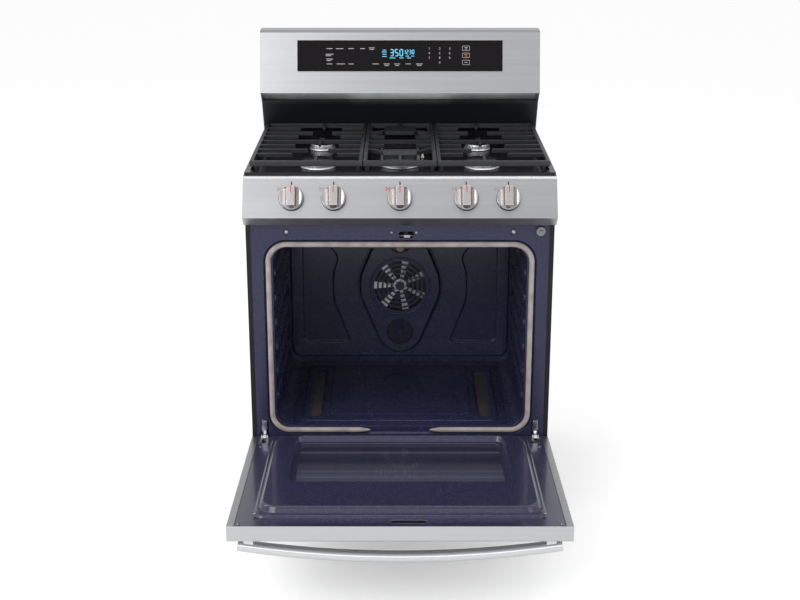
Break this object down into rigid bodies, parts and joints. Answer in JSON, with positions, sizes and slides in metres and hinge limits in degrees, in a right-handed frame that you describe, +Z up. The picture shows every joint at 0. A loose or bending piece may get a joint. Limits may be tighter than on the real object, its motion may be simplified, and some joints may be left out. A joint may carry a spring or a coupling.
{
  "type": "freestanding gas range",
  "caption": "Freestanding gas range with a folded-open oven door, cast-iron grates over round and oval burners, a front knob panel and a backguard touch panel.",
  "frame": {"origin": "centre of the overall bounding box in plan, on the floor, with the door folded open as at rest", "axes": "+X to the user's right when facing the range, +Y from the door to the back, +Z up"},
  "size_m": [0.76, 1.148, 1.191],
  "materials": {
    "stainless": "horizontally brushed stainless steel",
    "knob_steel": "satin steel knob",
    "navy_enamel": "glossy navy porcelain enamel with fine pale specks",
    "black_enamel": "glossy black enamel",
    "black_paint": "satin black paint",
    "galvanised": "galvanised sheet steel",
    "cast_iron": "matte enamelled cast iron",
    "aluminium": "cast aluminium",
    "chrome": "bright plated steel",
    "brass": "machined brass",
    "black_glass": "black tempered glass",
    "window_glass": "dark heat-reflecting oven glass",
    "lamp_glass": "clear lamp cover",
    "ceramic": "white ceramic insulator",
    "gasket_fibre": "woven glass-fibre tube",
    "blanket": "glass-wool insulation",
    "rubber_foot": "black plastic foot on a steel stud"
  },
  "bodies": {
    "chassis": {"side_panels": "black_paint", "back_panel": "galvanised", "base_pan": "galvanised", "leveling_feet": "rubber_foot", "front_frame": "navy_enamel", "frame_screws": "chrome", "oven_cavity": "navy_enamel", "oven_floor": "navy_enamel", "burner_box": "galvanised", "bake_burner": "aluminium", "broil_burner": "aluminium", "oven_insulation": "blanket", "door_gasket": "gasket_fibre", "fan_cover": "navy_enamel", "fan_motor": "galvanised", "oven_lamp": "lamp_glass", "oven_sensor": "chrome", "hinge_arms": "chrome", "lock_motor": "galvanised", "drawer_rails": "galvanised", "control_panel": "stainless", "knob_bezels": "chrome", "gas_manifold": "aluminium", "valve_bodies": "brass", "burner_tubes": "aluminium", "gas_regulator": "brass", "hob_pan": "black_enamel", "burner_heads": "aluminium", "burner_caps": "black_enamel", "spark_electrodes": "ceramic", "backguard": "stainless", "backguard_rear": "galvanised", "vent_trim": "black_enamel", "touch_panel": "black_glass"},
    "door": {"door_skin": "stainless", "door_inner_panel": "navy_enamel", "door_inner_glass": "window_glass", "door_outer_glass": "black_glass", "door_handle": "stainless", "handle_mounts": "stainless", "hinge_channels": "galvanised", "door_screws": "chrome"},
    "drawer": {"drawer_front": "stainless", "drawer_box": "black_paint"},
    "fan": {"fan_wheel": "aluminium"},
    "lock": {"lock_hook": "chrome"},
    "switch_plunger": {"door_switch": "chrome"},
    "grate_left": {"grate_left": "cast_iron"},
    "grate_middle": {"grate_middle": "cast_iron"},
    "grate_right": {"grate_right": "cast_iron"},
    "stem_1": {"valve_stem_1": "chrome"},
    "knob_1": {"knob_1": "knob_steel"},
    "stem_2": {"valve_stem_2": "chrome"},
    "knob_2": {"knob_2": "knob_steel"},
    "stem_3": {"valve_stem_3": "chrome"},
    "knob_3": {"knob_3": "knob_steel"},
    "stem_4": {"valve_stem_4": "chrome"},
    "knob_4": {"knob_4": "knob_steel"},
    "stem_5": {"valve_stem_5": "chrome"},
    "knob_5": {"knob_5": "knob_steel"}
  },
  "joints": [
    {"name": "door_hinge", "type": "hinge", "parent": "chassis", "child": "door", "pos_m": [0, -0.01489, 0.229], "axis": [-1, 0, 0], "range_deg": [0, 86.5]},
    {"name": "drawer_slide", "type": "slide", "parent": "chassis", "child": "drawer", "axis": [0, -1, 0], "range_m": [0, 0.4]},
    {"name": "fan_spin", "type": "hinge", "parent": "chassis", "child": "fan", "pos_m": [0, 0.45911, 0.486], "axis": [0, 1, 0], "continuous": true},
    {"name": "lock_turn", "type": "hinge", "parent": "chassis", "child": "lock", "pos_m": [0.0155, 0.02911, 0.761], "axis": [0, 0, 1], "range_deg": [0, 14]},
    {"name": "door_switch_press", "type": "slide", "parent": "chassis", "child": "switch_plunger", "axis": [0, 1, 0], "range_m": [0, 0.006]},
    {"name": "grate_left_lift", "type": "slide", "parent": "chassis", "child": "grate_left", "axis": [0, -0.6691, 0.7431], "range_m": [0, 0.15]},
    {"name": "grate_middle_lift", "type": "slide", "parent": "chassis", "child": "grate_middle", "axis": [0, -0.6691, 0.7431], "range_m": [0, 0.15]},
    {"name": "grate_right_lift", "type": "slide", "parent": "chassis", "child": "grate_right", "axis": [0, -0.6691, 0.7431], "range_m": [0, 0.15]},
    {"name": "knob_1_turn", "type": "hinge", "parent": "chassis", "child": "stem_1", "pos_m": [-0.262, -0.02201, 0.85779], "axis": [0, -0.8732, 0.4874], "range_deg": [0, 240]},
    {"name": "knob_1_push", "type": "slide", "parent": "stem_1", "child": "knob_1", "axis": [0, 0.8732, -0.4874], "range_m": [0, 0.003], "stiffness_N_per_m": 600},
    {"name": "knob_2_turn", "type": "hinge", "parent": "chassis", "child": "stem_2", "pos_m": [-0.16, -0.02201, 0.85779], "axis": [0, -0.8732, 0.4874], "range_deg": [0, 240]},
    {"name": "knob_2_push", "type": "slide", "parent": "stem_2", "child": "knob_2", "axis": [0, 0.8732, -0.4874], "range_m": [0, 0.003], "stiffness_N_per_m": 600},
    {"name": "knob_3_turn", "type": "hinge", "parent": "chassis", "child": "stem_3", "pos_m": [0, -0.02201, 0.85779], "axis": [0, -0.8732, 0.4874], "range_deg": [0, 240]},
    {"name": "knob_3_push", "type": "slide", "parent": "stem_3", "child": "knob_3", "axis": [0, 0.8732, -0.4874], "range_m": [0, 0.003], "stiffness_N_per_m": 600},
    {"name": "knob_4_turn", "type": "hinge", "parent": "chassis", "child": "stem_4", "pos_m": [0.16, -0.02201, 0.85779], "axis": [0, -0.8732, 0.4874], "range_deg": [0, 240]},
    {"name": "knob_4_push", "type": "slide", "parent": "stem_4", "child": "knob_4", "axis": [0, 0.8732, -0.4874], "range_m": [0, 0.003], "stiffness_N_per_m": 600},
    {"name": "knob_5_turn", "type": "hinge", "parent": "chassis", "child": "stem_5", "pos_m": [0.262, -0.02201, 0.85779], "axis": [0, -0.8732, 0.4874], "range_deg": [0, 240]},
    {"name": "knob_5_push", "type": "slide", "parent": "stem_5", "child": "knob_5", "axis": [0, 0.8732, -0.4874], "range_m": [0, 0.003], "stiffness_N_per_m": 600}
  ],
  "couplings": [
    {"joint": "door_switch_press", "follows": "door_hinge", "m_per_rad": 0.0039743}
  ]
}
